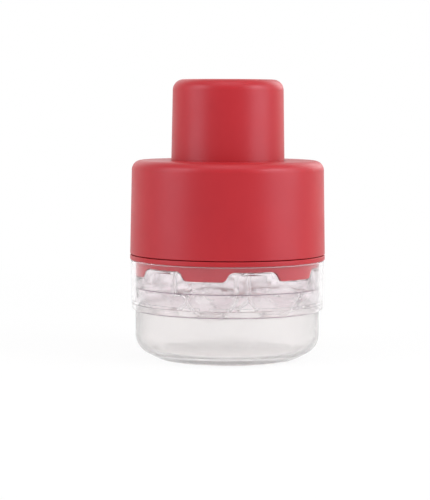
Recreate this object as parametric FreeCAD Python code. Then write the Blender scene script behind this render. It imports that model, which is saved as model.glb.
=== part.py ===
# Seven-fruit push-down cherry pitter, in millimetres, +Z up.
# The origin is the centre of the circle that the pit cup stands on.
# From the table up: a pit cup, a clear collar that plugs on the cup's neck, a clear fruit tray that
# drops into the collar, and a red head. The head holds a sprung press cap that drives seven hollow
# steel pins down through a guide plate, through the fruit and through the holes under the bowls.
# Angles are counted from +X. The bowls, the pins and the skirt's lobes share one ring of six places.
# The collar's outside radius leads: the cup, the tray and the head take their radii from it.

import FreeCAD, Part
import math
import os

# Clearances
slip_gap = 0.25          # radial gap between pieces that slip or turn in each other
seat_gap = 0.12          # gap between faces that rest on each other
pin_gap = 0.18           # radial gap of a pin in its guide
fixed_gap = 0.05         # radial gap of a pin or screw in the piece that holds it
plunger_gap = 0.35       # radial gap between the press cap and the hole in the shell
lobe_gap = 0.35          # gap between a lobe and the notch that it drops into
notch_gap = 0.45         # radial gap between the carrier's notches and the shell's bosses
overcut = 1.0            # how far a cutting shape runs past the solid that it cuts

# Layout of the places
outer_places = 6
first_place_angle = -90.0

# Collar
collar_radius = 46.65    # outside, at the top
collar_taper = 0.5       # smaller at the bottom by this
collar_wall = 2.1
collar_foot_wall = 2.1   # round the cup's neck
collar_height = 24.05
collar_edge_radius = 1.3
collar_rim_radius = 0.35
ledge_height = 1.3
ledge_width = 1.5

# Pit cup
cup_wall = 1.8
cup_body_height = 23.2
cup_tuck = 10.7          # the foot is smaller than the body by this
cup_tuck_height = 5.5
cup_corner_radius = 8.9
cup_inner_corner_radius = 7.4
cup_floor = 2.0
foot_height = 2.0
foot_width = 3.0
foot_edge_radius = 1.0
neck_step = 0.5
neck_height = 3.1
neck_edge_radius = 0.4
gate_radius = 1.3        # moulding mark in the middle of the cup's floor
gate_height = 0.25

# Keys that stop the tray turning in the collar
tray_keys = 3
key_width = 6.0          # degrees
key_drop = 1.1           # below the tray's foot, into a notch in the ledge

# Fruit tray
tray_wall = 1.4
plate_drop = 10.0        # from the top of the tray down to the top of its plate
plate_thickness = 1.4
bowl_radius = 11.9       # inside
bowl_wall = 1.4
bowl_rise = 0.5          # centre of the bowl's sphere above the plate
bowl_edge = 0.5          # between the bowls and the tray's wall
pit_hole_radius = 5.1
nozzle_wall = 1.3
nozzle_length = 1.0
scallop_land = 4.9       # from a bowl's edge out to the hollow side of the pillar next to it
pillar_depth = 8.3       # how far a pillar's tip stands in from the tray's wall
pillar_wall = 1.3

# Lobes of the skirt
lobe_depth = 4.5
lobe_half_width = 10.6   # half way down a flank
lobe_flank_angle = 62.0  # degrees from level
lobe_tip_radius = 2.4
lobe_root_radius = 3.4

# Guide base
band_lip = 0.35          # the band stands out past the collar by this
band_height = 2.3
band_edge_radius = 0.4
skirt_drop = 2.85        # from the band down to the top of the notches between lobes
skirt_wall = 1.7
spigot_height = 3.6
spigot_wall = 1.4
spigot_edge_radius = 0.4
ear_height = 2.0         # ears on the spigot, between the guide plate and the shell's bosses
ear_wall = 1.2

# Guide plate
guide_floor = 2.0
guide_edge_radius = 0.3
guide_boss_wall = 2.2
guide_boss_height = 5.2
hold_down_radius = 8.4   # rings that keep the fruit down when the pins go up
hold_down_wall = 1.3
hold_down_drop = 2.0
spring_ring_wall = 1.4
spring_ring_height = 3.0
pad_wall = 0.7           # round the screw heads
pad_drop = 1.2
pad_inset = 0.15         # from the edge of the plate

# Head shell
seam_gap = 0.35
shell_height = 44.95
shell_draft = 0.85       # smaller at the top by this
shell_wall = 2.2
shell_shoulder_radius = 4.6
shell_inner_shoulder_radius = 3.2
shell_edge_radius = 0.4
shell_hole_edge_radius = 0.3
shell_screws = 3
shell_boss_radius = 3.6
shell_rib = 1.8
shell_rib_lift = 1.0     # above the spigot

# Press cap
stroke = 30.0
cap_left = 8.75          # what still stands above the shell when the cap is down
cap_radius = 27.25       # at the shell's top
cap_draft = 0.7          # smaller at the top by this
cap_wall = 2.2
cap_corner_radius = 5.15
cap_inner_corner_radius = 3.1
cap_posts = 3
cap_post_radius = 3.1
cap_post_gap = 0.25      # between a post and the cap's wall at the top
centre_post_lap = 0.5    # the middle post is wider than the centre pin's head by this

# Pin carrier
rest_gap = 0.3           # between the clamp plate and the roof of the shell, cap up
clamp_thickness = 1.6
carrier_thickness = 3.0
carrier_rim = 3.4        # from the heads of the outer pins out to the carrier's edge
carrier_edge_radius = 0.6
tower_height = 20.0      # from the top of the carrier's plate up
tower_wall = 1.6
tower_roof = 3.0
tower_edge_radius = 0.8
tower_post_gap = 1.35    # between the tower and the cap's posts
tower_spring_gap = 1.0   # between the tower and the spring
hub_wall = 2.0
hub_length = 9.0
hub_edge_radius = 0.5

# Pitting pins
pin_radius = 3.1
pin_bore_radius = 2.2
pin_bore_depth = 9.0
pin_slot_width = 1.5
pin_slot_depth = 3.2
pin_bevel = 0.3
pin_bevel_height = 1.8
pin_head_radius = 4.5
pin_head_height = 1.6
pin_head_edge_radius = 0.3
pin_recess = 0.7         # tip above the underside of the guide plate, cap up

# Return spring
spring_wire = 1.5
spring_turns = 9.5
spring_end_gap = 0.55    # between the closed end turns
spring_closed = 0.5      # turns at each end before the pitch opens, over one turn
arcs_per_turn = 8

# Screws
screw_radius = 1.45
screw_head_radius = 2.7
screw_head_height = 1.7
screw_head_edge_radius = 0.5
screw_length = 9.0
screw_clearance = 0.3
screw_socket_radius = 1.15
screw_socket_depth = 1.0

# Heights worked out from the sizes above, all measured from the table
cup_floor_z = foot_height + cup_floor
cup_rim_z = cup_body_height + neck_height
collar_z = cup_body_height + seat_gap
ledge_z = cup_rim_z + seat_gap
tray_z = ledge_z + ledge_height + seat_gap
collar_top_z = collar_z + collar_height
band_z = collar_top_z + seat_gap
band_top_z = band_z + band_height
skirt_z = band_z - skirt_drop
tray_top_z = skirt_z - lobe_gap
plate_z = tray_top_z - plate_drop
guide_top_z = band_top_z - seat_gap
floor_z = guide_top_z - guide_floor
pad_z = floor_z - pad_drop
ear_top_z = band_top_z + ear_height
spigot_top_z = band_top_z + spigot_height
shell_z = band_top_z + seam_gap
shell_top_z = shell_z + shell_height
roof_z = shell_top_z - shell_wall
clamp_z = roof_z - rest_gap - clamp_thickness
carrier_z = clamp_z - carrier_thickness
cap_z = clamp_z + clamp_thickness
cap_top_z = shell_top_z + stroke + cap_left
cap_roof_z = cap_top_z - cap_wall
tower_top_z = clamp_z + tower_height
spring_seat_z = guide_top_z
spring_top_z = tower_top_z - tower_roof
pin_tip_z = floor_z + pin_recess
bowl_centre_z = plate_z + bowl_rise

# Radii worked out from the sizes above, from the collar inwards
collar_bottom_radius = collar_radius - collar_taper
collar_lower_bore = collar_bottom_radius - collar_foot_wall
collar_bore = collar_radius - collar_wall
ledge_bore = collar_bore - ledge_width
neck_radius = collar_lower_bore - slip_gap
cup_radius = neck_radius + neck_step
cup_bore_radius = cup_radius - cup_wall
foot_radius = cup_radius - cup_tuck
tray_radius = collar_bore - slip_gap
tray_bore = tray_radius - tray_wall
bowl_outer_radius = bowl_radius + bowl_wall
pitch_radius = tray_bore - bowl_edge - bowl_radius
scallop_radius = bowl_radius + scallop_land
pillar_tip_radius = tray_bore - pillar_depth
skirt_radius = collar_bore - slip_gap
skirt_bore = skirt_radius - skirt_wall
guide_radius = skirt_bore - slip_gap
pad_radius = screw_head_radius + screw_clearance + pad_wall
shell_screw_radius = guide_radius - pad_inset - pad_radius
ear_radius = screw_radius + screw_clearance + ear_wall
guide_bore = pin_radius + pin_gap
guide_boss_radius = guide_bore + guide_boss_wall
band_radius = collar_radius + band_lip
shell_top_radius = band_radius - shell_draft
shell_bore = band_radius - shell_wall
spigot_radius = shell_bore - slip_gap
spigot_bore = spigot_radius - spigot_wall
cap_top_radius = cap_radius - cap_draft
shell_hole_radius = cap_radius + plunger_gap
cap_post_place = cap_top_radius - cap_wall - cap_post_gap - cap_post_radius
tower_radius = cap_post_place - cap_post_radius - tower_post_gap
tower_bore = tower_radius - tower_wall
spring_outer = tower_bore - tower_spring_gap
spring_radius = spring_outer - spring_wire / 2
spring_ring_radius = spring_radius - spring_wire / 2 - slip_gap
pin_shank_bore = pin_radius + fixed_gap
pin_head_bore = pin_head_radius + fixed_gap
hub_radius = pin_shank_bore + hub_wall
carrier_radius = pitch_radius + pin_head_radius + carrier_rim
centre_post_radius = pin_head_radius + centre_post_lap
screw_hole = screw_radius + screw_clearance
screw_sink = screw_head_radius + screw_clearance
screw_pilot = screw_radius + fixed_gap

place_step = 360.0 / outer_places
AXIS = FreeCAD.Vector(0, 0, 1)
ORIGIN = FreeCAD.Vector(0, 0, 0)


def vector(x, y, z):
    return FreeCAD.Vector(x, y, z)


def rounded_edges(corners):
    """Edges of a closed outline. A corner is a point with the radius that rounds it, 0 for sharp."""
    count = len(corners)
    starts, ends, arcs = [], [], []
    for i, (point, radius) in enumerate(corners):
        before = (corners[i - 1][0] - point).normalize()
        after = (corners[(i + 1) % count][0] - point).normalize()
        if radius <= 0:
            starts.append(point)
            ends.append(point)
            arcs.append(None)
            continue
        half_angle = before.getAngle(after) / 2
        reach = radius / math.tan(half_angle)
        middle = (before + after).normalize()
        first = point + before * reach
        last = point + after * reach
        top = point + middle * (radius / math.sin(half_angle) - radius)
        starts.append(first)
        ends.append(last)
        arcs.append(Part.Arc(first, top, last).toShape())
    edges = []
    for i in range(count):
        if arcs[i]:
            edges.append(arcs[i])
        here, there = ends[i], starts[(i + 1) % count]
        if here.distanceToPoint(there) > 1e-6:
            edges.append(Part.LineSegment(here, there).toShape())
    return edges


def turned(corners):
    """Solid of revolution about Z. Corners are (radius, height) or (radius, height, rounding)."""
    points = [(vector(c[0], 0, c[1]), c[2] if len(c) > 2 else 0) for c in corners]
    face = Part.Face(Part.Wire(rounded_edges(points)))
    return face.revolve(ORIGIN, AXIS, 360)


def rod(radius, low, high):
    return Part.makeCylinder(radius, high - low, vector(0, 0, low))


def tube(outer, inner, low, high):
    return rod(outer, low, high).cut(rod(inner, low, high))


def sector(outer, inner, low, high, start, sweep):
    """Piece of a ring from the angle start over sweep degrees."""
    ring = Part.makeCylinder(outer, high - low, vector(0, 0, low), AXIS, sweep)
    ring = ring.cut(rod(inner, low, high))
    return ring.rotate(ORIGIN, AXIS, start)


def at(shape, radius, angle):
    """Copy of a shape made on the axis, moved out along +X and turned about the axis."""
    copy = shape.copy()
    copy.translate(vector(radius, 0, 0))
    copy.rotate(ORIGIN, AXIS, angle)
    return copy


def fused(parts):
    return parts[0].multiFuse(parts[1:])


def spread(count, first):
    return [first + 360.0 / count * i for i in range(count)]


def place_angles():
    return spread(outer_places, first_place_angle)


def gap_angles():
    return spread(outer_places, first_place_angle + place_step / 2)


def all_places():
    """Radius and angle of the centre place and of those round it."""
    return [(0, 0)] + [(pitch_radius, angle) for angle in place_angles()]


def boss_angles():
    return spread(shell_screws, first_place_angle + place_step / 2)


def post_angles():
    return spread(cap_posts, first_place_angle + place_step / 2)


def lobe(gap):
    """Prism that a lobe of the skirt fills, along +X. A gap makes it larger on every side."""
    slope = math.radians(lobe_flank_angle)
    run = lobe_depth / math.tan(slope)
    side = gap / math.sin(slope) - gap / math.tan(slope)
    tip_z = skirt_z - lobe_depth - gap
    root_z = skirt_z - gap
    tip_half = lobe_half_width - run / 2 + side
    root_half = lobe_half_width + run / 2 + side
    brim = root_half + 2 * lobe_root_radius
    top_z = band_z + band_height / 2
    near = tray_bore - 2 * tray_wall
    corners = [
        (vector(near, -brim, root_z), 0),
        (vector(near, -root_half, root_z), lobe_root_radius - gap),
        (vector(near, -tip_half, tip_z), lobe_tip_radius + gap),
        (vector(near, tip_half, tip_z), lobe_tip_radius + gap),
        (vector(near, root_half, root_z), lobe_root_radius - gap),
        (vector(near, brim, root_z), 0),
        (vector(near, brim, top_z), 0),
        (vector(near, -brim, top_z), 0),
    ]
    face = Part.Face(Part.Wire(rounded_edges(corners)))
    return face.extrude(vector(collar_radius - near, 0, 0))


def make_pit_cup():
    return turned([
        (0, foot_height),
        (foot_radius - foot_width, foot_height),
        (foot_radius - foot_width, 0, foot_edge_radius),
        (foot_radius, 0, foot_edge_radius),
        (cup_radius, cup_tuck_height, cup_corner_radius),
        (cup_radius, cup_body_height),
        (neck_radius, cup_body_height),
        (neck_radius, cup_rim_z, neck_edge_radius),
        (cup_bore_radius, cup_rim_z, neck_edge_radius),
        (cup_bore_radius, cup_floor_z, cup_inner_corner_radius),
        (gate_radius, cup_floor_z),
        (gate_radius, cup_floor_z + gate_height),
        (0, cup_floor_z + gate_height),
    ])


def make_collar():
    ledge_top_z = ledge_z + ledge_height
    body = turned([
        (collar_lower_bore, collar_z),
        (collar_bottom_radius, collar_z, collar_edge_radius),
        (collar_radius, collar_top_z, collar_rim_radius),
        (collar_bore, collar_top_z, collar_rim_radius),
        (collar_bore, ledge_top_z),
        (ledge_bore, ledge_top_z),
        (ledge_bore, ledge_z),
        (collar_lower_bore, ledge_z),
    ])
    side = math.degrees(slip_gap / ledge_bore)
    notches = [
        sector(collar_bore, ledge_bore - overcut, ledge_z - overcut, ledge_top_z + overcut,
               angle - key_width / 2 - side, key_width + 2 * side)
        for angle in spread(tray_keys, first_place_angle)
    ]
    return body.cut(notches).removeSplitter()


def pillar(inset, top):
    """Post with two hollow sides that fills the space between two bowls, smaller by an inset."""
    low = plate_z - plate_thickness
    post = sector(tray_radius, pillar_tip_radius + 2 * inset, low, top, -place_step / 2, place_step)
    scallop = rod(scallop_radius + inset, low, top)
    return post.cut([at(scallop, pitch_radius, side * place_step / 2) for side in (-1, 1)])


def make_fruit_tray():
    """Castellated wall with the plate and the posts inside it. The bowls hang below the plate."""
    low = plate_z - plate_thickness
    inside = rod(tray_bore, low, tray_top_z)
    parts = [
        tube(tray_radius, tray_bore, tray_z, tray_top_z),
        rod(tray_bore + tray_wall / 2, low, plate_z),
    ]
    for angle in gap_angles():
        parts.append(at(pillar(0, tray_top_z), 0, angle))
    for angle in spread(tray_keys, first_place_angle):
        parts.append(sector(tray_radius, ledge_bore, tray_z - key_drop, tray_z + key_drop,
                            angle - key_width / 2, key_width))
    hollow = Part.makeSphere(bowl_radius, vector(0, 0, bowl_centre_z))
    cuts = [at(hollow, radius, angle).common(inside) for radius, angle in all_places()]
    core = pillar(pillar_wall, tray_top_z - pillar_wall).common(inside)
    for angle in gap_angles():
        cuts.append(at(core, 0, angle))
    for angle in place_angles():
        cuts.append(at(lobe(lobe_gap), 0, angle))
    return fused(parts).cut(cuts).removeSplitter()


def make_bowl(radius, angle):
    """The part of one bowl that is below the plate, with a short nozzle round the pit's hole."""
    top = plate_z - plate_thickness
    hole_z = bowl_centre_z - math.sqrt(bowl_outer_radius ** 2 - pit_hole_radius ** 2)
    nozzle_z = hole_z - nozzle_length
    centre = vector(0, 0, bowl_centre_z)
    nozzle = rod(pit_hole_radius + nozzle_wall, nozzle_z, bowl_centre_z - bowl_radius)
    hollow = Part.makeSphere(bowl_radius, centre)
    hole = rod(pit_hole_radius, nozzle_z - overcut, bowl_centre_z)
    bowl = Part.makeSphere(bowl_outer_radius, centre).fuse(nozzle)
    bowl = bowl.common(rod(bowl_outer_radius + overcut, nozzle_z, top)).cut([hollow, hole])
    inside = rod(tray_bore, nozzle_z - overcut, top)
    return at(bowl, radius, angle).common(inside).removeSplitter()


def make_guide_base():
    """Red band with the lobed skirt below it, and above it the spigot and the ears for the screws."""
    band = turned([
        (skirt_bore, band_z),
        (band_radius, band_z, band_edge_radius),
        (band_radius, band_top_z, band_edge_radius),
        (spigot_radius, band_top_z),
        (spigot_radius, spigot_top_z, spigot_edge_radius),
        (spigot_bore, spigot_top_z, spigot_edge_radius),
        (spigot_bore, band_top_z),
        (skirt_bore, band_top_z),
    ])
    parts = [band, tube(skirt_radius, skirt_bore, skirt_z, band_z + band_height / 2)]
    lobe_ring = tube(skirt_radius, skirt_bore, skirt_z - lobe_depth - overcut, band_z)
    for angle in place_angles():
        parts.append(at(lobe(0), 0, angle).common(lobe_ring))
    arm = Part.makeBox(spigot_bore + spigot_wall / 2 - shell_screw_radius, 2 * ear_radius, ear_height,
                       vector(shell_screw_radius, -ear_radius, band_top_z))
    for angle in boss_angles():
        parts.append(at(rod(ear_radius, band_top_z, ear_top_z), shell_screw_radius, angle))
        parts.append(at(arm, 0, angle))
    hole = rod(screw_hole, band_top_z - overcut, ear_top_z + overcut)
    holes = [at(hole, shell_screw_radius, angle) for angle in boss_angles()]
    return fused(parts).cut(holes).removeSplitter()


def make_guide_plate():
    """Plate inside the band that guides the pins, seats the spring and holds the fruit down."""
    middle_z = floor_z + guide_floor / 2
    plate = turned([
        (0, floor_z),
        (guide_radius, floor_z, guide_edge_radius),
        (guide_radius, guide_top_z, guide_edge_radius),
        (0, guide_top_z),
    ])
    boss_top_z = guide_top_z + guide_boss_height
    boss = rod(guide_boss_radius, middle_z, boss_top_z)
    hold_down = tube(hold_down_radius + hold_down_wall, hold_down_radius, floor_z - hold_down_drop, middle_z)
    parts = [plate, tube(spring_ring_radius, spring_ring_radius - spring_ring_wall, middle_z,
                         guide_top_z + spring_ring_height)]
    for radius, angle in all_places():
        parts.append(at(boss, radius, angle))
        parts.append(at(hold_down, radius, angle))
    cuts = [at(rod(guide_bore, floor_z - overcut, boss_top_z + overcut), r, a) for r, a in all_places()]
    pad = rod(pad_radius, pad_z, middle_z)
    sink = rod(screw_sink, pad_z - overcut, pad_z + screw_head_height)
    hole = rod(screw_hole, pad_z, guide_top_z + overcut)
    for angle in boss_angles():
        parts.append(at(pad, shell_screw_radius, angle))
        cuts.append(at(sink, shell_screw_radius, angle))
        cuts.append(at(hole, shell_screw_radius, angle))
    return fused(parts).cut(cuts).removeSplitter()


def make_head_shell():
    shell = turned([
        (shell_hole_radius, roof_z),
        (shell_top_radius - shell_wall, roof_z, shell_inner_shoulder_radius),
        (shell_bore, shell_z),
        (band_radius, shell_z, shell_edge_radius),
        (shell_top_radius, shell_top_z, shell_shoulder_radius),
        (shell_hole_radius, shell_top_z, shell_hole_edge_radius),
    ])
    middle = shell_wall / 2
    inside = turned([
        (0, roof_z + middle),
        (shell_top_radius - middle, roof_z + middle, shell_inner_shoulder_radius + middle),
        (shell_bore + middle, shell_z),
        (0, shell_z),
    ])
    rib_z = spigot_top_z + shell_rib_lift
    boss = rod(shell_boss_radius, ear_top_z + seat_gap, roof_z + middle)
    rib = Part.makeBox(shell_bore - shell_screw_radius + middle, shell_rib, roof_z + middle - rib_z,
                       vector(0, -shell_rib / 2, rib_z))
    pilot = rod(screw_pilot, ear_top_z, pad_z + screw_head_height + screw_length + overcut)
    parts = [shell]
    for angle in boss_angles():
        parts.append(at(boss, shell_screw_radius, angle).common(inside))
        parts.append(at(rib, shell_screw_radius, angle).common(inside))
    return fused(parts).cut([at(pilot, shell_screw_radius, a) for a in boss_angles()]).removeSplitter()


def make_press_cap():
    cap = turned([
        (0, cap_top_z),
        (cap_top_radius, cap_top_z, cap_corner_radius),
        (cap_radius, shell_top_z),
        (cap_radius, cap_z),
        (cap_radius - cap_wall, cap_z),
        (cap_top_radius - cap_wall, cap_roof_z, cap_inner_corner_radius),
        (0, cap_roof_z),
    ])
    post = rod(cap_post_radius, cap_z, cap_roof_z + cap_wall / 2)
    pilot = rod(screw_pilot, cap_z - overcut, carrier_z + screw_head_height + screw_length + overcut)
    parts = [cap, rod(centre_post_radius, tower_top_z, cap_roof_z + cap_wall / 2)]
    parts += [at(post, cap_post_place, angle) for angle in post_angles()]
    return fused(parts).cut([at(pilot, cap_post_place, a) for a in post_angles()]).removeSplitter()


def guide_notches(low, high):
    """Cuts in the plates that ride up and down on the shell's bosses."""
    notch = rod(shell_boss_radius + notch_gap, low - overcut, high + overcut)
    return [at(notch, shell_screw_radius, angle) for angle in boss_angles()]


def make_pin_clamp():
    plate = tube(carrier_radius, tower_radius + slip_gap, clamp_z, cap_z)
    hole = rod(screw_hole, clamp_z - overcut, cap_z + overcut)
    cuts = [at(hole, cap_post_place, angle) for angle in post_angles()]
    return plate.cut(cuts + guide_notches(clamp_z, cap_z))


def make_pin_carrier():
    """Plate for the outer pins, with a tower that takes the spring and the centre pin."""
    hub_z = spring_top_z - hub_length
    body = turned([
        (0, tower_top_z),
        (tower_radius, tower_top_z, tower_edge_radius),
        (tower_radius, clamp_z),
        (carrier_radius, clamp_z),
        (carrier_radius, carrier_z, carrier_edge_radius),
        (tower_bore, carrier_z),
        (tower_bore, spring_top_z),
        (hub_radius, spring_top_z),
        (hub_radius, hub_z, hub_edge_radius),
        (0, hub_z),
    ])
    cuts = [rod(pin_shank_bore, hub_z - overcut, tower_top_z + overcut),
            rod(pin_head_bore, tower_top_z - pin_head_height, tower_top_z + overcut)]
    shank = rod(pin_shank_bore, carrier_z - overcut, clamp_z + overcut)
    head = rod(pin_head_bore, clamp_z - pin_head_height, clamp_z + overcut)
    for angle in place_angles():
        cuts.append(at(shank, pitch_radius, angle))
        cuts.append(at(head, pitch_radius, angle))
    sink = rod(screw_sink, carrier_z - overcut, carrier_z + screw_head_height)
    hole = rod(screw_hole, carrier_z, clamp_z + overcut)
    for angle in post_angles():
        cuts.append(at(sink, cap_post_place, angle))
        cuts.append(at(hole, cap_post_place, angle))
    return body.cut(cuts + guide_notches(carrier_z, clamp_z)).removeSplitter()


def make_pin(top_z):
    """Hollow pin on the axis, its crown of four prongs at pin_tip_z and its flanged head at top_z."""
    pin = turned([
        (0, pin_tip_z + pin_bore_depth),
        (pin_bore_radius, pin_tip_z + pin_bore_depth),
        (pin_bore_radius, pin_tip_z),
        (pin_radius - pin_bevel, pin_tip_z),
        (pin_radius, pin_tip_z + pin_bevel_height),
        (pin_radius, top_z - pin_head_height),
        (pin_head_radius, top_z - pin_head_height),
        (pin_head_radius, top_z, pin_head_edge_radius),
        (0, top_z),
    ])
    reach = pin_radius + overcut
    slot = Part.makeBox(2 * reach, pin_slot_width, pin_slot_depth + overcut,
                        vector(-reach, -pin_slot_width / 2, pin_tip_z - overcut))
    return pin.cut([slot, at(slot, 0, 90)])


def make_screw(low):
    """Pan-head screw on the axis, the face of its head at the height low and its shank going up."""
    head_z = low + screw_head_height
    return turned([
        (0, low + screw_socket_depth),
        (screw_socket_radius, low + screw_socket_depth),
        (screw_socket_radius, low),
        (screw_head_radius, low, screw_head_edge_radius),
        (screw_head_radius, head_z),
        (screw_radius, head_z),
        (screw_radius, head_z + screw_length - screw_radius),
        (0, head_z + screw_length),
    ])


def opened(turn):
    """How many turns' worth of the open pitch a wire has gained after some turns from its end."""
    past = turn - spring_closed
    if past <= 0:
        return 0
    return past ** 2 / 2 if past < 1 else past - 0.5


def coil_height(turn, length):
    """Height and pitch of the wire's middle after some turns of a coil with closed ends."""
    closed = spring_wire + spring_end_gap
    half = spring_turns / 2
    extra = (length / 2 - closed * half) / opened(half)
    from_end = min(turn, spring_turns - turn)
    height = closed * from_end + extra * opened(from_end)
    pitch = closed + extra * min(max(from_end - spring_closed, 0), 1)
    return (height if turn <= half else length - height), pitch


def arc_through(start, corner, end):
    """Arc from start to end that is tangent to the two equal legs through corner."""
    leg = (corner - start).Length
    turn = (corner - start).getAngle(end - corner)
    radius = leg / math.tan(turn / 2)
    inward = ((start + end) * 0.5 - corner).normalize()
    middle = corner + inward * (math.hypot(radius, leg) - radius)
    return Part.Arc(start, middle, end).toShape()


def biarc(start, start_dir, end, end_dir):
    """Two arcs that leave start and reach end along the given directions."""
    across, both = end - start, start_dir + end_dir
    a, b, c = both.dot(both) - 4, -2 * across.dot(both), across.dot(across)
    leg = (-b - math.sqrt(b * b - 4 * a * c)) / (2 * a)
    first, second = start + start_dir * leg, end - end_dir * leg
    joint = (first + second) * 0.5
    return [arc_through(start, first, joint), arc_through(joint, second, end)]


def make_return_spring():
    low = spring_seat_z + seat_gap + spring_wire / 2
    length = spring_top_z - seat_gap - spring_wire / 2 - low
    steps = round(spring_turns * arcs_per_turn / 2)
    points, ways, heights = [], [], []
    for i in range(steps + 1):
        turn = i * spring_turns / steps
        angle = 2 * math.pi * turn
        height, pitch = coil_height(turn, length)
        points.append(vector(spring_radius * math.cos(angle), spring_radius * math.sin(angle), low + height))
        slope = pitch / (2 * math.pi * spring_radius)
        ways.append(vector(-math.sin(angle), math.cos(angle), slope).normalize())
        if turn <= spring_turns - 1:
            heights.append(coil_height(turn + 1, length)[0] - height)
    edges = []
    for i in range(steps):
        edges += biarc(points[i], ways[i], points[i + 1], ways[i + 1])
    path = Part.Wire(edges)
    section = Part.Wire(Part.makeCircle(spring_wire / 2, points[0], ways[0]))
    coil = path.makePipeShell([section], True, False)
    expected = path.Length * math.pi * spring_wire ** 2 / 4
    print("spring: wire %.1f mm, volume over section times length %.4f, least gap between turns %.2f mm" % (
        path.Length, coil.Volume / expected, min(heights) - spring_wire))
    return coil


def build():
    parts = {
        "pit_cup": make_pit_cup(),
        "collar": make_collar(),
        "fruit_tray": make_fruit_tray(),
        "bowl_centre": make_bowl(0, 0),
        "guide_base": make_guide_base(),
        "guide_plate": make_guide_plate(),
        "head_shell": make_head_shell(),
        "press_cap": make_press_cap(),
        "pin_clamp": make_pin_clamp(),
        "pin_carrier": make_pin_carrier(),
        "centre_pin": make_pin(tower_top_z),
        "return_spring": make_return_spring(),
    }
    for i, angle in enumerate(place_angles(), 1):
        parts["bowl_%d" % i] = make_bowl(pitch_radius, angle)
        parts["outer_pin_%d" % i] = at(make_pin(clamp_z), pitch_radius, angle)
    for i, angle in enumerate(boss_angles(), 1):
        parts["base_screw_%d" % i] = at(make_screw(pad_z), shell_screw_radius, angle)
    for i, angle in enumerate(post_angles(), 1):
        parts["carrier_screw_%d" % i] = at(make_screw(carrier_z), cap_post_place, angle)
    return parts


os.makedirs("parts", exist_ok=True)
for name, shape in build().items():
    shape.exportStep("parts/%s.step" % name)
    print("%-15s solids %d  valid %s  volume %.1f  z %.2f to %.2f" % (
        name, len(shape.Solids), shape.isValid(), shape.Volume, shape.BoundBox.ZMin, shape.BoundBox.ZMax))
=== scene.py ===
import math

import bmesh
import bpy
from mathutils import Matrix, Vector


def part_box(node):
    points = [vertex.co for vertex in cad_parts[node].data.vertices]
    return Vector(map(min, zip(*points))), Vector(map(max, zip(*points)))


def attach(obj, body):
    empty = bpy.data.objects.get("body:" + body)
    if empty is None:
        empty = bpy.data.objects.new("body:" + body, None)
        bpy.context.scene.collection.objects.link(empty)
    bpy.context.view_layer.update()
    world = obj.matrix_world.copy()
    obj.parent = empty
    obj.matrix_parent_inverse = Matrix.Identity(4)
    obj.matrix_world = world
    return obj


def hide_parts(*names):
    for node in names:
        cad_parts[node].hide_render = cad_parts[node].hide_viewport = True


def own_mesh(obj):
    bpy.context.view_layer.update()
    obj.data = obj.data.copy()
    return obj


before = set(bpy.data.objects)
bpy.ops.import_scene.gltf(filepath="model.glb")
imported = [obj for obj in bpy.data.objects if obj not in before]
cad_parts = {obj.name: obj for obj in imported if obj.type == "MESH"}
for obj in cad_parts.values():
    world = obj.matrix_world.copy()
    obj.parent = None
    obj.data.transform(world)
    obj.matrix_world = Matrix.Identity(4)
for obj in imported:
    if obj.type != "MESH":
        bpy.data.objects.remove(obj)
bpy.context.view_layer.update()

MM = 0.001


# Sizes that the frame gives, in millimetres
def low_z(node):
    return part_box(node)[0].z / MM


def high_z(node):
    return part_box(node)[1].z / MM


def outer_radius(node):
    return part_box(node)[1].x / MM


cup_radius = outer_radius("pit_cup")
cup_rim_z = high_z("pit_cup")
collar_radius = outer_radius("collar")
collar_z = low_z("collar")
collar_top_z = high_z("collar")
tray_radius = outer_radius("fruit_tray")
nozzle_z = low_z("bowl_centre")
tray_top_z = high_z("fruit_tray")
band_radius = outer_radius("guide_base")
spigot_top_z = high_z("guide_base")
spring_low_z = low_z("return_spring")
spring_high_z = high_z("return_spring")
spring_outer_radius = outer_radius("return_spring")

# Layout of the seven places
outer_places = 6
first_place_angle = -90.0
pitch_radius = 30.5
place_step = 360.0 / outer_places
place_angles = [first_place_angle + place_step * i for i in range(outer_places)]
gap_angles = [angle + place_step / 2 for angle in place_angles]
all_places = [(0.0, 0.0)] + [(pitch_radius, angle) for angle in place_angles]
boss_angles = gap_angles[::2]
key_angles = place_angles[::2]

# Gaps and small edges
slip_gap = 0.25
seat_gap = 0.12
lobe_gap = 0.35
soft_edge = 0.2

# Pit cup
cup_wall = 1.8
cup_body_height = 23.2
cup_tuck = 10.7
cup_tuck_height = 5.5
cup_corner_radius = 8.9
cup_inner_corner_radius = 7.4
cup_floor_z = 4.0
foot_height = 2.0
foot_width = 3.0
foot_edge_radius = 1.0
neck_step = 0.5
neck_edge_radius = 0.4
gate_radius = 1.3
gate_height = 0.25
gate_edge_radius = gate_height / 3

# Collar
collar_taper = 0.5
collar_wall = 2.1
collar_edge_radius = 1.3
collar_rim_radius = 0.35
# Heights of the collar's rim band, which takes painted highlight and also places a corner of the outline,
# and of its foot band, which takes painted shade
rim_band = 0.5
painted_shade_foot_band = 0.45
ledge_height = 1.3
ledge_width = 1.5
collar_bore = collar_radius - collar_wall
collar_lower_bore = cup_radius - neck_step + slip_gap
ledge_bore = collar_bore - ledge_width
ledge_z = cup_rim_z + seat_gap

# Fruit tray
tray_wall = 1.4
tray_bore = tray_radius - tray_wall
tray_z = ledge_z + ledge_height + seat_gap
plate_depth = 10.0
plate_z = tray_top_z - plate_depth
plate_thickness = 1.4
bowl_radius = 11.9
bowl_wall = 1.4
bowl_lift = 0.5
bowl_centre_z = plate_z + bowl_lift
bowl_rim_radius = 0.7
bowl_sink = 0.2
pit_hole_radius = 5.1
nozzle_wall = 1.3
nozzle_edge_radius = 0.3
scallop_radius = 16.8
pillar_tip_radius = 34.6
pillar_wall = 1.3
tray_edge_radius = 0.35
groove_height = 0.5
groove_depth = 0.3
groove_margin = 0.1
key_width = 6.0  # degrees
key_drop = 1.1

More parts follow.
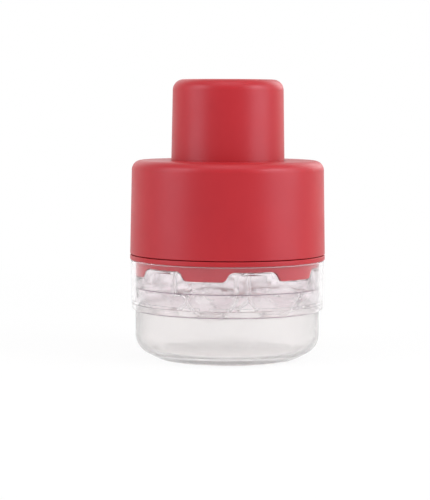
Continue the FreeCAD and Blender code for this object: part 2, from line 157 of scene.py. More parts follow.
# Skirt and its lobes
lobe_depth = 4.5
lobe_half_width = 10.6
lobe_flank_angle = 62.0  # degrees
lobe_tip_radius = 2.4
lobe_root_radius = 3.4
skirt_z = tray_top_z + lobe_gap
skirt_radius = collar_bore - slip_gap
skirt_wall = 1.7
skirt_bore = skirt_radius - skirt_wall
skirt_edge_radius = 0.4

# Guide base
band_edge_radius = 0.4
band_z = collar_top_z + seat_gap
spigot_height = 3.6
band_top_z = spigot_top_z - spigot_height
spigot_wall = 1.4
shell_wall = 2.2
spigot_radius = band_radius - shell_wall - slip_gap
spigot_bore = spigot_radius - spigot_wall
spigot_edge_radius = 0.4
ear_height = 2.0
ear_radius = 2.95
ear_hole_radius = 1.75
ear_place = 38.5

# Return spring
spring_wire = 1.5
spring_turns = 9.5
spring_end_gap = 0.55
spring_closed = 0.5

# Fineness of the meshes: sides of round things, steps on arcs, and angles in degrees
ROUND_STEPS = 256
TOOL_STEPS = 96
SECTOR_STEPS = 24
PILLAR_SIDE_STEPS = 16
PILLAR_BACK_STEPS = 12
BOWL_STEPS = 28
BOWL_RIM_STEPS = 6
CROWN_EDGE_STEPS = 4
CROWN_STEP_ANGLE = 1.5
WIRE_SIDES = 16
WIRE_STEPS_PER_TURN = 48
ARC_STEP_ANGLE = 7.5
LEAST_ARC_STEPS = 3
SHARP_ANGLE = 28.0

# Allowances: how far tools reach past a face, keep two faces out of one plane, or count as on the axis
REACH = 1.0
THIN = 0.02
ON_AXIS = 1e-6

# Surfaces. The clear plastics bend light less than real ones, so that nested walls stay bright.
plastic_ior = 1.25
red_low = (0.348, 0.0103, 0.0148)
red_high = (0.384, 0.0128, 0.0172)
# Brighter red for the skirt and lobes behind the clear collar: painted light, standing in for lamp light
# that the collar keeps off them
skirt_painted_light_red_low = (0.46, 0.030, 0.040)
skirt_painted_light_red_high = (0.50, 0.035, 0.046)
red_gloss = 0.36
red_gloss_tint = (0.92, 0.86, 1.0, 1)
red_rough_range = 0.03
clear_share = 0.985
clear_low = (0.990, 0.972, 0.980)
clear_high = (1.0, 0.985, 0.992)
clear_rough_range = 0.02
milky_share = 0.92
milky_low = (0.950, 0.930, 0.928)
milky_high = (0.970, 0.955, 0.953)
milky_rough_low = 0.20
milky_rough_high = 0.245
# Pale pink of the collar's rim band: a painted highlight, its pink a painted reflection of the red band
# above
rim_painted_highlight_colour = (0.97, 0.80, 0.84)
# Dark mauve of the collar's foot and the tray's groove: painted shade where parts meet
painted_shade_line_colour = (0.36, 0.27, 0.32)
edge_shade = 0.96
edge_rough_low = 0.16
edge_rough_high = 0.22
pin_colour = (0.62, 0.62, 0.63)
spring_colour = (0.50, 0.50, 0.51)
screw_colour = (0.55, 0.55, 0.56)
steel_shade = 0.9
steel_rough_range = 0.06
WHITE = (1, 1, 1, 1)
EVEN = (1.0, 1.0, 1.0)
STRETCHED_UPWARDS = (1.0, 1.0, 0.35)
DRAWN_LENGTHWISE = (1.0, 1.0, 0.06)
NOISE_LOW = 0.3
NOISE_HIGH = 0.7

# Studio, in metres: the backdrop's light, and a floor that fades to white away from the object
backdrop_light = 0.38
backdrop_seen = 1.0
floor_half_width = 4.0
floor_low = (0.86, 0.86, 0.86)
floor_high = (0.88, 0.88, 0.88)
floor_rough = 0.9
fade_start = 0.08
fade_end = 0.5
white_at_start = 0.92
white_at_end = 1.0
middle_z = 0.066
LIGHT_BOUNCES = 48
GLOSS_BOUNCES = 16

# Camera, in metres, degrees and pixels of the photograph
view_azimuth = 14.0
camera_distance = 0.905
camera_height = 0.1242
pitch = 4.581
yaw = 0.381
roll = 0.24
focal_pixels = 1878.5
long_side_pixels = 500
sensor_width = 36.0  # millimetres
nearest_seen = 0.05
furthest_seen = 50


# Shapes
def polar(radius, turn):
    return radius * math.cos(turn), radius * math.sin(turn)


def centre_of(place):
    """Where a place lies, given as its distance from the axis and its angle in degrees."""
    return polar(place[0], math.radians(place[1]))


def rounded(corners):
    """Points of an outline of (radius, height) or (radius, height, rounding) corners."""
    points = []
    count = len(corners)
    for i, corner in enumerate(corners):
        here = Vector(corner[:2])
        radius = corner[2] if len(corner) > 2 else 0
        if radius <= 0:
            points.append(here)
            continue
        before = (Vector(corners[i - 1][:2]) - here).normalized()
        after = (Vector(corners[(i + 1) % count][:2]) - here).normalized()
        half = before.angle(after) / 2
        centre = here + (before + after).normalized() * radius / math.sin(half)
        start = here + before * radius / math.tan(half) - centre
        sweep = start.angle_signed(here + after * radius / math.tan(half) - centre)
        steps = max(LEAST_ARC_STEPS, math.ceil(abs(sweep) / math.radians(ARC_STEP_ANGLE)))
        for k in range(steps + 1):
            points.append(centre + Matrix.Rotation(-sweep * k / steps, 2) @ start)
    return points


def face_outwards(mesh):
    shape = bmesh.new()
    shape.from_mesh(mesh)
    bmesh.ops.recalc_face_normals(shape, faces=shape.faces)
    if shape.calc_volume(signed=True) < 0:
        bmesh.ops.reverse_faces(shape, faces=shape.faces)
    shape.to_mesh(mesh)
    shape.free()


def mesh_object(vertices, faces):
    """Object of a closed mesh, with its vertices given in millimetres."""
    mesh = bpy.data.meshes.new("shape")
    mesh.from_pydata([Vector(v) * MM for v in vertices], [], faces)
    mesh.validate()
    piece = bpy.data.objects.new("shape", mesh)
    bpy.context.scene.collection.objects.link(piece)
    face_outwards(mesh)
    return piece


def faces_between(rows, width, closed):
    """Faces between neighbouring rows of a section. A closed band joins its last row to its first."""
    faces = []
    for i in range(rows if closed else rows - 1):
        j = (i + 1) % rows
        for k in range(width):
            m = (k + 1) % width
            faces.append([i * width + k, j * width + k, j * width + m, i * width + m])
    return faces


def lathe(corners, steps=ROUND_STEPS, centre=(0.0, 0.0)):
    """Closed solid of revolution. Corners on the axis close in a single point each."""
    vertices, rings = [], []
    for point in rounded(corners):
        if abs(point.x) < ON_AXIS:
            rings.append([len(vertices)] * steps)
            vertices.append((centre[0], centre[1], point.y))
            continue
        rings.append(list(range(len(vertices), len(vertices) + steps)))
        for i in range(steps):
            x, y = polar(point.x, 2 * math.pi * i / steps)
            vertices.append((centre[0] + x, centre[1] + y, point.y))
    faces = []
    for ring, following in zip(rings, rings[1:] + rings[:1]):
        for i in range(steps):
            j = (i + 1) % steps
            face = list(dict.fromkeys([ring[i], ring[j], following[j], following[i]]))
            if len(face) > 2:
                faces.append(face)
    return mesh_object(vertices, faces)


def cylinder(radius, low, high, place=(0.0, 0.0), steps=TOOL_STEPS):
    return lathe([(0, low), (radius, low), (radius, high), (0, high)], steps, centre_of(place))


def flat_ring(outer, inner, low, high):
    return lathe([(inner, low), (outer, low), (outer, high), (inner, high)])


def prism(outline, low, high):
    """Upright solid over a closed outline of (x, y) points."""
    count = len(outline)
    vertices = [(x, y, low) for x, y in outline] + [(x, y, high) for x, y in outline]
    faces = [list(range(count))[::-1], list(range(count, 2 * count))]
    for i in range(count):
        j = (i + 1) % count
        faces.append([i, j, count + j, count + i])
    return mesh_object(vertices, faces)


def sector_outline(outer, inner, start, sweep):
    """Corners of a piece of a flat ring, angles in degrees."""
    turns = [math.radians(start + sweep * i / SECTOR_STEPS) for i in range(SECTOR_STEPS + 1)]
    return [polar(outer, turn) for turn in turns] + [polar(inner, turn) for turn in reversed(turns)]


def turned_outline(outline, angle):
    turn = math.radians(angle)
    return [(x * math.cos(turn) - y * math.sin(turn), x * math.sin(turn) + y * math.cos(turn))
            for x, y in outline]


def arc(radius, middle_height, first, last, steps):
    """Points on an arc whose middle is on the axis, from one slope to another in radians."""
    points = []
    for k in range(steps + 1):
        x, z = polar(radius, first + (last - first) * k / steps)
        points.append((x, middle_height + z))
    return points


def combine(base, tools, operation):
    """Joins the tools to the base or cuts them from it, and removes them."""
    for tool in tools:
        step = base.modifiers.new("step", "BOOLEAN")
        step.operation = operation
        step.solver = "MANIFOLD"
        step.object = tool
    bpy.context.view_layer.update()
    graph = bpy.context.evaluated_depsgraph_get()
    result = bpy.data.meshes.new_from_object(base.evaluated_get(graph))
    base.modifiers.clear()
    base.data = result
    for tool in tools:
        bpy.data.objects.remove(tool)


def finish_piece(piece, name, body, nodes, material):
    """Names a piece, shades it, gives it its material and ties it to the frame."""
    piece.name = name
    piece.data.name = name
    piece.data.materials.clear()
    piece.data.materials.append(material)
    for face in piece.data.polygons:
        face.use_smooth = True
        face.material_index = 0
    piece.data.set_sharp_from_angle(angle=math.radians(SHARP_ANGLE))
    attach(piece, body)
    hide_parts(*nodes)


def painted_light_band(piece, material, low, high, radius):
    """Gives a band of a piece, between two heights and outside a radius, a second material whose colour
    paints light and shade onto the band.
    """
    piece.data.materials.append(material)
    index = len(piece.data.materials) - 1
    for face in piece.data.polygons:
        middle = face.center / MM
        if low < middle.z < high and middle.xy.length > radius:
            face.material_index = index


# Lobes of the skirt, and the notches that take them
def lobe_outline(gap):
    """Lower edge of the skirt over one place, as (distance along the wall, height) points."""
    slope = math.radians(lobe_flank_angle)
    run = lobe_depth / math.tan(slope)
    side = gap / math.sin(slope) - gap / math.tan(slope)
    tip_z = skirt_z - lobe_depth - gap
    root_z = skirt_z - gap
    tip_half = lobe_half_width - run / 2 + side
    root_half = lobe_half_width + run / 2 + side
    far = pitch_radius
    corners = [
        (-far, root_z),
        (-root_half, root_z, lobe_root_radius - gap),
        (-tip_half, tip_z, lobe_tip_radius + gap),
        (tip_half, tip_z, lobe_tip_radius + gap),
        (root_half, root_z, lobe_root_radius - gap),
        (far, root_z),
        (far, root_z + far),
        (-far, root_z + far),
    ]
    return rounded(corners)[:-2]


def lobe_edge(gap, radius):
    """The same edge as (angle from the middle of the place in degrees, height) on a wall of some radius."""
    half = place_step / 2
    points = []
    for x, z in lobe_outline(gap):
        if abs(x) < radius:
            points.append((math.degrees(math.asin(x / radius)), z))
    return [(-half, points[0][1])] + [p for p in points if abs(p[0]) < half] + [(half, points[-1][1])]


def fill_in(points, longest):
    """The same line with points added so that no step turns by more than the longest, in degrees."""
    filled = [points[0]]
    for before, after in zip(points, points[1:]):
        steps = max(1, math.ceil(abs(after[0] - before[0]) / longest))
        for k in range(1, steps + 1):
            share = k / steps
            filled.append((before[0] + (after[0] - before[0]) * share,
                           before[1] + (after[1] - before[1]) * share))
    return filled


def crown_section(outer, inner, flat_z, height, edge):
    """Section of an upright wall between a flat rim and a rim with two rounded edges."""
    up = 1 if height > flat_z else -1
    bends = [math.pi / 2 * k / CROWN_EDGE_STEPS for k in range(CROWN_EDGE_STEPS + 1)]
    section = [(inner, flat_z), (outer, flat_z)]
    for bend in bends:
        section.append((outer - edge + edge * math.cos(bend), height - up * edge * (1 - math.sin(bend))))
    for bend in bends:
        section.append((inner + edge - edge * math.sin(bend), height - up * edge * (1 - math.cos(bend))))
    return section


def crown_wall(outer, inner, flat_z, gap, edge):
    """Upright ring with one flat rim at flat_z and one rim that follows the lobes, its edges rounded."""
    line = fill_in(lobe_edge(gap, (outer + inner) / 2), CROWN_STEP_ANGLE)[:-1]
    vertices = []
    for middle in place_angles:
        for angle, height in line:
            turn = math.radians(middle + angle)
            section = crown_section(outer, inner, flat_z, height, edge)
            vertices += [(*polar(radius, turn), z) for radius, z in section]
    width = len(section)
    return mesh_object(vertices, faces_between(len(vertices) // width, width, True))


# Materials
def new_material(name):
    material = bpy.data.materials.new(name)
    material.use_nodes = True
    return material, material.node_tree, material.node_tree.nodes["Principled BSDF"]


def noise(tree, bumps, detail=4.0, stretch=EVEN):
    """Noise in the piece's own coordinates, in bumps per metre."""
    place = tree.nodes.new("ShaderNodeTexCoord")
    mapping = tree.nodes.new("ShaderNodeMapping")
    mapping.inputs["Scale"].default_value = stretch
    texture = tree.nodes.new("ShaderNodeTexNoise")
    texture.inputs["Scale"].default_value = bumps
    texture.inputs["Detail"].default_value = detail
    tree.links.new(place.outputs["Object"], mapping.inputs["Vector"])
    tree.links.new(mapping.outputs["Vector"], texture.inputs["Vector"])
    return texture.outputs["Fac"]


def vary_colour(tree, shader, value, low, high):
    """Base colour that follows a noise value between two colours."""
    ramp = tree.nodes.new("ShaderNodeValToRGB")
    ramp.color_ramp.elements[0].position = NOISE_LOW
    ramp.color_ramp.elements[0].color = (*low, 1)
    ramp.color_ramp.elements[1].position = NOISE_HIGH
    ramp.color_ramp.elements[1].color = (*high, 1)
    tree.links.new(value, ramp.inputs["Fac"])
    tree.links.new(ramp.outputs["Color"], shader.inputs["Base Color"])


def vary_roughness(tree, shader, value, low, high):
    """Roughness that follows a noise value between two numbers."""
    ramp = tree.nodes.new("ShaderNodeMapRange")
    ramp.inputs["From Min"].default_value = NOISE_LOW
    ramp.inputs["From Max"].default_value = NOISE_HIGH
    ramp.inputs["To Min"].default_value = low
    ramp.inputs["To Max"].default_value = high
    tree.links.new(value, ramp.inputs["Value"])
    tree.links.new(ramp.outputs["Result"], shader.inputs["Roughness"])


def relief(tree, shader, value, depth, strength):
    """Relief of a depth in metres that follows a noise value."""
    node = tree.nodes.new("ShaderNodeBump")
    node.inputs["Strength"].default_value = strength
    node.inputs["Distance"].default_value = depth
    tree.links.new(value, node.inputs["Height"])
    tree.links.new(node.outputs["Normal"], shader.inputs["Normal"])


def satin_red(name, low, high, rough):
    material, tree, shader = new_material(name)
    shader.inputs["Specular IOR Level"].default_value = red_gloss
    shader.inputs["Specular Tint"].default_value = red_gloss_tint
    vary_colour(tree, shader, noise(tree, bumps=35), low, high)
    vary_roughness(tree, shader, noise(tree, bumps=90), rough - red_rough_range, rough + red_rough_range)
    relief(tree, shader, noise(tree, bumps=2600, detail=2.0), depth=0.00002, strength=0.35)
    return material


def clear_plastic(name, rough):
    material, tree, shader = new_material(name)
    shader.inputs["Transmission Weight"].default_value = clear_share
    shader.inputs["IOR"].default_value = plastic_ior
    vary_colour(tree, shader, noise(tree, bumps=40), clear_low, clear_high)
    vary_roughness(tree, shader, noise(tree, bumps=70),
                   rough - clear_rough_range, rough + clear_rough_range)
    waves = noise(tree, bumps=160, detail=2.0, stretch=STRETCHED_UPWARDS)
    relief(tree, shader, waves, depth=0.00004, strength=0.4)
    return material


def milky_plastic():
    material, tree, shader = new_material("milky_plastic")
    shader.inputs["Transmission Weight"].default_value = milky_share
    shader.inputs["IOR"].default_value = plastic_ior
    vary_colour(tree, shader, noise(tree, bumps=30), milky_low, milky_high)
    vary_roughness(tree, shader, noise(tree, bumps=60), milky_rough_low, milky_rough_high)
    relief(tree, shader, noise(tree, bumps=900, detail=2.0), depth=0.00002, strength=0.3)
    return material


def painted_band_plastic(name, colour, clearness):
    """Clear plastic with a painted colour, for the bands of painted highlight and painted shade."""
    material, tree, shader = new_material(name)
    shader.inputs["Transmission Weight"].default_value = clearness
    shader.inputs["IOR"].default_value = plastic_ior
    vary_colour(tree, shader, noise(tree, bumps=60), [c * edge_shade for c in colour], colour)
    vary_roughness(tree, shader, noise(tree, bumps=90), edge_rough_low, edge_rough_high)
    return material


def steel(name, colour, rough, stretch):
    material, tree, shader = new_material(name)
    shader.inputs["Metallic"].default_value = 1.0
    grain = noise(tree, bumps=900, detail=6.0, stretch=stretch)
    vary_colour(tree, shader, grain, [c * steel_shade for c in colour], colour)
    vary_roughness(tree, shader, grain, rough - steel_rough_range, rough + steel_rough_range)
    relief(tree, shader, grain, depth=0.00001, strength=0.5)
    return material


red = satin_red("red_plastic", red_low, red_high, rough=0.40)
inner_red = satin_red("inner_plastic", red_low, red_high, rough=0.52)
# Skirt red made brighter as painted light
skirt_painted_light_red = satin_red("skirt_plastic_painted_light", skirt_painted_light_red_low, skirt_painted_light_red_high, rough=0.36)
clear = clear_plastic("clear_plastic", rough=0.05)
clear_inner = clear_plastic("clear_inner_plastic", rough=0.14)
milky = milky_plastic()
# Collar rim band: painted highlight with a painted reflection of the red
rim_painted_highlight = painted_band_plastic("rim_painted_highlight", rim_painted_highlight_colour, clearness=0.72)
# Collar foot and tray groove: painted shade
painted_shade_line = painted_band_plastic("painted_shade_line", painted_shade_line_colour, clearness=0.45)
pin_steel = steel("pin_steel", pin_colour, rough=0.22, stretch=DRAWN_LENGTHWISE)
spring_steel = steel("spring_steel", spring_colour, rough=0.28, stretch=EVEN)
screw_steel = steel("screw_steel", screw_colour, rough=0.34, stretch=EVEN)


# Pit cup
def make_pit_cup():
    foot_radius = cup_radius - cup_tuck
    body = lathe([
        (0, foot_height),
        (foot_radius - foot_width, foot_height, soft_edge),
        (foot_radius - foot_width, 0, foot_edge_radius),
        (foot_radius, 0, foot_edge_radius),
        (cup_radius, cup_tuck_height, cup_corner_radius),
        (cup_radius, cup_body_height, soft_edge),
        (cup_radius - neck_step, cup_body_height, soft_edge),
        (cup_radius - neck_step, cup_rim_z, neck_edge_radius),
        (cup_radius - cup_wall, cup_rim_z, neck_edge_radius),
        (cup_radius - cup_wall, cup_floor_z, cup_inner_corner_radius),
        (gate_radius, cup_floor_z, gate_edge_radius),
        (gate_radius, cup_floor_z + gate_height, gate_edge_radius),
        (0, cup_floor_z + gate_height),
    ])
    finish_piece(body, "pit_cup_piece", "cup", ["pit_cup"], milky)


# Collar
def key_sector(outer, inner, angle, side=0.0):
    """Plan of one key of the tray, or of the notch that takes it with some room at each side."""
    return sector_outline(outer, inner, angle - key_width / 2 - side, key_width + 2 * side)


def make_collar():
    ledge_top_z = ledge_z + ledge_height
    lean = collar_taper / (collar_top_z - collar_z)
    body = lathe([
        (collar_lower_bore, collar_z, soft_edge),
        (collar_radius - collar_taper, collar_z, collar_edge_radius),
        (collar_radius - lean * rim_band, collar_top_z - rim_band),
        (collar_radius, collar_top_z, collar_rim_radius),
        (collar_bore, collar_top_z, collar_rim_radius),
        (collar_bore, ledge_top_z, soft_edge),
        (ledge_bore, ledge_top_z, soft_edge),
        (ledge_bore, ledge_z, soft_edge),
        (collar_lower_bore, ledge_z, soft_edge),
    ])
    room = math.degrees(slip_gap / ledge_bore)
    notches = [prism(key_sector(collar_bore - THIN, ledge_bore - REACH, angle, room),
                     ledge_z - REACH, ledge_top_z + REACH) for angle in key_angles]
    combine(body, notches, "DIFFERENCE")
    finish_piece(body, "collar_piece", "collar", ["collar"], clear)
    # The rim band takes a pale pink painted highlight and painted reflection of the red band
    painted_light_band(body, rim_painted_highlight, collar_top_z - rim_band, collar_top_z + REACH, collar_bore)
    # The foot band takes dark painted shade
    painted_light_band(body, painted_shade_line, collar_z - REACH, collar_z + painted_shade_foot_band, collar_lower_bore)


# Fruit tray with its bowls
def pillar_outline(inset, outer):
    """Post between two bowls, about the +X axis: two hollow sides, a short tip and a round back."""
    half = math.radians(place_step / 2)
    centre = Vector(polar(pitch_radius, half))
    hollow_radius = scallop_radius + inset
    tip = pillar_tip_radius + 2 * inset

    def meets(radius):
        """Angle where the hollow side crosses a circle about the axis."""
        cosine = (radius ** 2 + pitch_radius ** 2 - hollow_radius ** 2) / (2 * radius * pitch_radius)
        return half - math.acos(max(-1.0, min(1.0, cosine)))

    near, far = meets(tip), meets(outer)
    start = Vector(polar(tip, near)) - centre
    sweep = start.angle_signed(Vector(polar(outer, far)) - centre)
    turns = [Matrix.Rotation(-sweep * k / PILLAR_SIDE_STEPS, 2) for k in range(PILLAR_SIDE_STEPS + 1)]
    left = [tuple(centre + turn @ start) for turn in turns]
    back = [polar(outer, far - 2 * far * k / PILLAR_BACK_STEPS) for k in range(1, PILLAR_BACK_STEPS)]
    right = [(x, -y) for x, y in reversed(left)]
    return left + back + right


def pillars(inset, outer, low, high):
    return [prism(turned_outline(pillar_outline(inset, outer), angle), low, high) for angle in gap_angles]


def bowl_outer(place):
    """Outside of one bowl with its nozzle, from the plate down."""
    radius = bowl_radius + bowl_wall
    nozzle_radius = pit_hole_radius + nozzle_wall
    top_z = plate_z - bowl_sink
    first = math.asin(min(1.0, (top_z - bowl_centre_z) / radius))
    last = -math.acos(nozzle_radius / radius)
    outline = [(0, top_z)]
    outline += arc(radius, bowl_centre_z, first, last, BOWL_STEPS)
    outline += [(nozzle_radius, nozzle_z, nozzle_edge_radius), (0, nozzle_z)]
    return lathe(outline, TOOL_STEPS, centre_of(place))


def bowl_inner(place):
    """Hollow of one bowl with the hole under it and a rounded rim at the plate."""
    rim_z = plate_z - bowl_rim_radius
    first = math.asin((rim_z - bowl_centre_z) / bowl_radius)
    last = -math.acos(pit_hole_radius / bowl_radius)
    outline = [(0, nozzle_z - REACH), (pit_hole_radius, nozzle_z - REACH)]
    outline += arc(bowl_radius, bowl_centre_z, last, first, BOWL_STEPS)
    edge = outline[-1][0]
    for k in range(1, BOWL_RIM_STEPS + 1):
        bend = math.pi / 2 * k / BOWL_RIM_STEPS
        outline.append((edge + bowl_rim_radius * (1 - math.cos(bend)),
                        rim_z + bowl_rim_radius * math.sin(bend)))
    outline += [(edge + bowl_rim_radius, plate_z + REACH), (0, plate_z + REACH)]
    return lathe(outline, TOOL_STEPS, centre_of(place))


def make_fruit_tray():
    plate_low_z = plate_z - plate_thickness
    groove_low_z = plate_z - groove_height / 2
    wall_middle = tray_bore + tray_wall / 2
    wall = crown_wall(tray_radius, tray_bore, tray_z, lobe_gap, tray_edge_radius)
    adds = [cylinder(wall_middle, plate_low_z, plate_z, steps=ROUND_STEPS)]
    adds += [bowl_outer(place) for place in all_places]
    adds += pillars(0, wall_middle, plate_low_z, tray_top_z - THIN)
    adds += [prism(key_sector(tray_radius, ledge_bore, angle), tray_z - key_drop, tray_z + key_drop)
             for angle in key_angles]
    combine(wall, adds, "UNION")
    cuts = [bowl_inner(place) for place in all_places]
    cuts += pillars(pillar_wall, tray_bore, plate_low_z - REACH, tray_top_z - pillar_wall)
    cuts += [flat_ring(tray_radius + REACH, tray_radius - groove_depth, groove_low_z,
                       groove_low_z + groove_height)]
    combine(wall, cuts, "DIFFERENCE")
    bowls = [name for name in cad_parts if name.startswith("bowl")]
    finish_piece(wall, "fruit_tray_piece", "tray", ["fruit_tray"] + bowls, clear_inner)
    # The groove takes a dark band of painted shade
    painted_light_band(wall, painted_shade_line, plate_z - groove_height, plate_z + groove_height,
              tray_radius - groove_depth - groove_margin)


# Guide base with its skirt
def make_guide_base():
    band = lathe([
        (skirt_bore, band_z, soft_edge),
        (band_radius, band_z, band_edge_radius),
        (band_radius, band_top_z, band_edge_radius),
        (spigot_radius, band_top_z, soft_edge),
        (spigot_radius, spigot_top_z, spigot_edge_radius),
        (spigot_bore, spigot_top_z, spigot_edge_radius),
        (spigot_bore, band_top_z),
        (skirt_bore, band_top_z),
    ])
    ear_top_z = band_top_z + ear_height
    far = spigot_bore + spigot_wall / 2
    arm = [(ear_place, -ear_radius), (far, -ear_radius), (far, ear_radius), (ear_place, ear_radius)]
    adds = [crown_wall(skirt_radius, skirt_bore, band_z + soft_edge, 0, skirt_edge_radius)]
    adds += [prism(turned_outline(arm, angle), band_top_z, ear_top_z) for angle in boss_angles]
    adds += [cylinder(ear_radius, band_top_z, ear_top_z, (ear_place, angle)) for angle in boss_angles]
    combine(band, adds, "UNION")
    holes = [cylinder(ear_hole_radius, band_top_z - REACH, ear_top_z + REACH, (ear_place, angle))
             for angle in boss_angles]
    combine(band, holes, "DIFFERENCE")
    finish_piece(band, "guide_base_piece", "head", ["guide_base"], red)
    # The skirt and its lobes take the brighter red: painted light
    painted_light_band(band, skirt_painted_light_red, skirt_z - lobe_depth - REACH, band_z - soft_edge, 0)


# Return spring
def opened(turn):
    """Turns of full pitch that a wire has gained after some turns from its end.

    The wire is closed at first, and its pitch then opens evenly over one turn.
    """
    past = turn - spring_closed
    if past <= 0:
        return 0
    return past ** 2 / 2 if past < 1 else past - 1 / 2


def coil_height(turn, length):
    """Height of the wire's middle after some turns of a coil with closed ends."""
    closed = spring_wire + spring_end_gap
    half = spring_turns / 2
    extra = (length / 2 - closed * half) / opened(half)
    from_end = min(turn, spring_turns - turn)
    height = closed * from_end + extra * opened(from_end)
    return height if turn <= half else length - height


def make_return_spring():
    """Coil of wire with closed ends, as long as the frame's spring."""
    radius = spring_outer_radius - spring_wire / 2
    low = spring_low_z + spring_wire / 2
    length = spring_high_z - spring_low_z - spring_wire
    steps = round(spring_turns * WIRE_STEPS_PER_TURN)
    vertices = []
    for i in range(steps + 1):
        turn = spring_turns * i / steps
        wire_z = low + coil_height(turn, length)
        for k in range(WIRE_SIDES):
            out, up = polar(spring_wire / 2, 2 * math.pi * k / WIRE_SIDES)
            vertices.append((*polar(radius + out, 2 * math.pi * turn), wire_z + up))
    faces = faces_between(steps + 1, WIRE_SIDES, False)
    faces.append(list(range(WIRE_SIDES))[::-1])
    faces.append(list(range(steps * WIRE_SIDES, (steps + 1) * WIRE_SIDES)))
    coil = mesh_object(vertices, faces)
    finish_piece(coil, "return_spring_piece", "head", ["return_spring"], spring_steel)
    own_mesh(coil)


# Materials of the CAD nodes
def dress_cad_nodes():
    for name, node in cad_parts.items():
        if name.startswith("outer_pin") or name == "centre_pin":
            material = pin_steel
        elif "screw" in name:
            material = screw_steel
        elif name == "return_spring":
            material = spring_steel
        elif name in ("pin_carrier", "pin_clamp"):
            material = inner_red
        elif name in ("collar", "fruit_tray") or name.startswith("bowl"):
            material = clear
        elif name == "pit_cup":
            material = milky
        else:
            material = red
        node.data.materials.clear()
        node.data.materials.append(material)


# Floor, backdrop and lamps
def maths(tree, operation, first, second):
    node = tree.nodes.new("ShaderNodeMath")
    node.operation = operation
    tree.links.new(first, node.inputs[0])
    tree.links.new(second, node.inputs[1])
    return node.outputs["Value"]


def seen_directly(tree):
    """1 for rays from the camera, from gloss and through clear plastic, else 0."""
    path = tree.nodes.new("ShaderNodeLightPath")
    seen = maths(tree, "MAXIMUM", path.outputs["Is Camera Ray"], path.outputs["Is Glossy Ray"])
    return maths(tree, "MAXIMUM", seen, path.outputs["Is Transmission Ray"])


def white_with_distance(tree):
    """Share of plain white in the floor: most of it by the object, all of it further out."""
    place = tree.nodes.new("ShaderNodeTexCoord")
    length = tree.nodes.new("ShaderNodeVectorMath")
    length.operation = "LENGTH"
    fade = tree.nodes.new("ShaderNodeMapRange")
    fade.inputs["From Min"].default_value = fade_start
    fade.inputs["From Max"].default_value = fade_end
    fade.inputs["To Min"].default_value = white_at_start
    fade.inputs["To Max"].default_value = white_at_end
    tree.links.new(place.outputs["Object"], length.inputs[0])
    tree.links.new(length.outputs["Value"], fade.inputs["Value"])
    return fade.outputs["Result"]


def floor_material():
    """Matt grey that takes light and shadow, seen through a veil of plain white."""
    material, tree, shader = new_material("floor")
    shader.inputs["Roughness"].default_value = floor_rough
    shader.inputs["Specular IOR Level"].default_value = 0.0
    vary_colour(tree, shader, noise(tree, bumps=3), floor_low, floor_high)
    glow = tree.nodes.new("ShaderNodeEmission")
    glow.inputs["Color"].default_value = WHITE
    mix = tree.nodes.new("ShaderNodeMixShader")
    veil = maths(tree, "MULTIPLY", seen_directly(tree), white_with_distance(tree))
    tree.links.new(veil, mix.inputs["Fac"])
    tree.links.new(shader.outputs["BSDF"], mix.inputs[1])
    tree.links.new(glow.outputs["Emission"], mix.inputs[2])
    tree.links.new(mix.outputs["Shader"], tree.nodes["Material Output"].inputs["Surface"])
    return material


def make_floor():
    far = floor_half_width
    mesh = bpy.data.meshes.new("floor")
    mesh.from_pydata([(-far, -far, 0), (far, -far, 0), (far, far, 0), (-far, far, 0)], [], [(0, 1, 2, 3)])
    mesh.materials.append(floor_material())
    floor = bpy.data.objects.new("floor", mesh)
    bpy.context.scene.collection.objects.link(floor)


def make_world():
    """White backdrop that gives less light than its look has."""
    world = bpy.data.worlds.new("studio")
    bpy.context.scene.world = world
    world.use_nodes = True
    tree = world.node_tree
    backdrop = tree.nodes["Background"]
    backdrop.inputs["Color"].default_value = WHITE
    strength = tree.nodes.new("ShaderNodeMapRange")
    strength.inputs["To Min"].default_value = backdrop_light
    strength.inputs["To Max"].default_value = backdrop_seen
    tree.links.new(seen_directly(tree), strength.inputs["Value"])
    tree.links.new(strength.outputs["Result"], backdrop.inputs["Strength"])


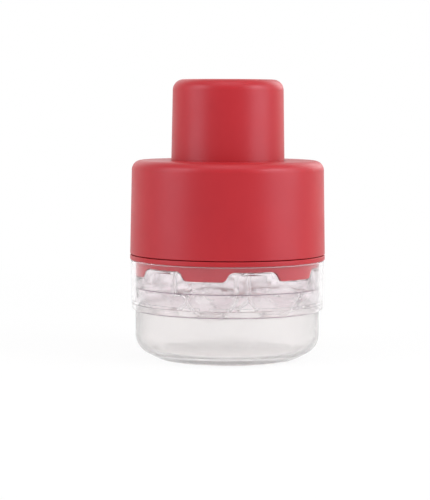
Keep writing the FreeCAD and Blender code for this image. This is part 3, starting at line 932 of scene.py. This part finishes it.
def softbox(name, azimuth, elevation, distance, size, power):
    """Area lamp that faces the middle of the object. Azimuth 0 is the camera's side."""
    lamp = bpy.data.lights.new(name, "AREA")
    lamp.shape = "RECTANGLE"
    lamp.size, lamp.size_y = size
    lamp.energy = power
    holder = bpy.data.objects.new(name, lamp)
    bpy.context.scene.collection.objects.link(holder)
    turn = math.radians(azimuth + view_azimuth)
    rise = math.radians(elevation)
    back = Vector((math.sin(turn) * math.cos(rise), -math.cos(turn) * math.cos(rise), math.sin(rise)))
    holder.location = Vector((0, 0, middle_z)) + back * distance
    holder.rotation_mode = "QUATERNION"
    holder.rotation_quaternion = back.to_track_quat("Z", "Y")


def make_lamps():
    softbox("left_box", azimuth=-67, elevation=14, distance=0.9, size=(0.55, 0.9), power=4.7)
    softbox("right_box", azimuth=68, elevation=14, distance=0.9, size=(0.66, 0.9), power=6.6)
    softbox("left_high_box", azimuth=-60, elevation=33, distance=0.9, size=(0.34, 0.14), power=1.1)
    softbox("right_high_box", azimuth=62, elevation=33, distance=0.9, size=(0.40, 0.14), power=1.9)
    softbox("top_box", azimuth=0, elevation=70, distance=0.9, size=(0.7, 0.7), power=2.7)
    softbox("back_left_box", azimuth=-160, elevation=25, distance=1.0, size=(0.6, 0.6), power=0.5)
    softbox("back_right_box", azimuth=140, elevation=25, distance=1.0, size=(0.6, 0.6), power=2.3)


# Camera
def make_camera():
    data = bpy.data.cameras.new("camera")
    data.sensor_width = sensor_width
    data.lens = focal_pixels * sensor_width / long_side_pixels
    data.clip_start = nearest_seen
    data.clip_end = furthest_seen
    camera = bpy.data.objects.new("camera", data)
    bpy.context.scene.collection.objects.link(camera)
    side = math.radians(view_azimuth)
    camera.location = (math.sin(side) * camera_distance, -math.cos(side) * camera_distance, camera_height)
    turn = Matrix.Rotation(side + math.radians(yaw), 4, "Z")
    tilt = Matrix.Rotation(math.radians(90 - pitch), 4, "X")
    lean = Matrix.Rotation(math.radians(roll), 4, "Z")
    camera.rotation_mode = "QUATERNION"
    camera.rotation_quaternion = (turn @ tilt @ lean).to_quaternion()
    bpy.context.scene.camera = camera


make_camera()
make_world()
make_floor()
make_lamps()

dress_cad_nodes()
make_pit_cup()
make_collar()
make_fruit_tray()
make_guide_base()
make_return_spring()

bpy.context.scene.view_settings.view_transform = "Standard"
bpy.context.scene.cycles.max_bounces = LIGHT_BOUNCES
bpy.context.scene.cycles.transmission_bounces = LIGHT_BOUNCES
bpy.context.scene.cycles.glossy_bounces = GLOSS_BOUNCES
